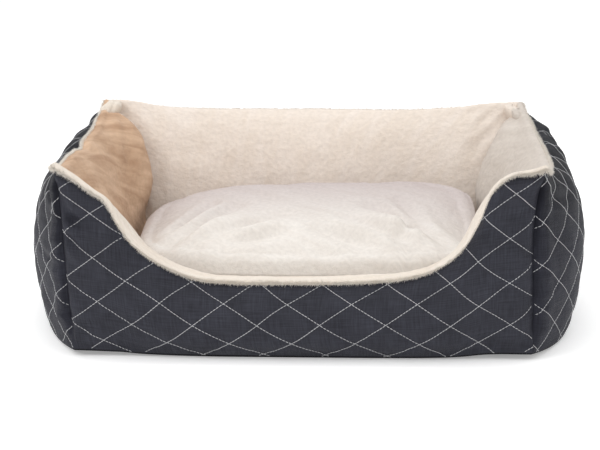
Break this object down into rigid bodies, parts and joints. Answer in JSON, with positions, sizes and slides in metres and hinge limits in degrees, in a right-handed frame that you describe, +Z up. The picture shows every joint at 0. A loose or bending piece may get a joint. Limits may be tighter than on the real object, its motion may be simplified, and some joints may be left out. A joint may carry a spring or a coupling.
{
  "type": "pet cushion bed",
  "caption": "Rectangular bolster pet bed with quilted outer walls, plush lining, a low U-shaped front entry, pointed corners and a loose plump cushion.",
  "frame": {"origin": "middle of the footprint, on the floor", "axes": "+X to the right along the width, -Y out of the low front entry, +Z up"},
  "size_m": [0.6012, 0.4598, 0.2018],
  "materials": {
    "quilted_nylon": "satin",
    "cream_plush": "matte",
    "fibre_wadding": "matte",
    "grip_cloth": "matte",
    "cushion_plush": "matte"
  },
  "bodies": {
    "bed": {"front_outer_panel": "quilted_nylon", "front_inner_lining": "cream_plush", "front_bolster_fill": "fibre_wadding", "right_outer_panel": "quilted_nylon", "right_inner_lining": "cream_plush", "right_bolster_fill": "fibre_wadding", "back_outer_panel": "quilted_nylon", "back_inner_lining": "cream_plush", "back_bolster_fill": "fibre_wadding", "left_outer_panel": "quilted_nylon", "left_inner_lining": "cream_plush", "left_bolster_fill": "fibre_wadding", "base_underside": "grip_cloth", "base_pad": "fibre_wadding", "floor_lining": "cream_plush"},
    "cushion": {"cushion_top_cover": "cushion_plush", "cushion_bottom_cover": "cushion_plush", "cushion_fill": "fibre_wadding"}
  },
  "joints": [
    {"name": "cushion_lift", "type": "slide", "parent": "bed", "child": "cushion", "axis": [0, 0, 1], "range_m": [0, 0.25]}
  ]
}
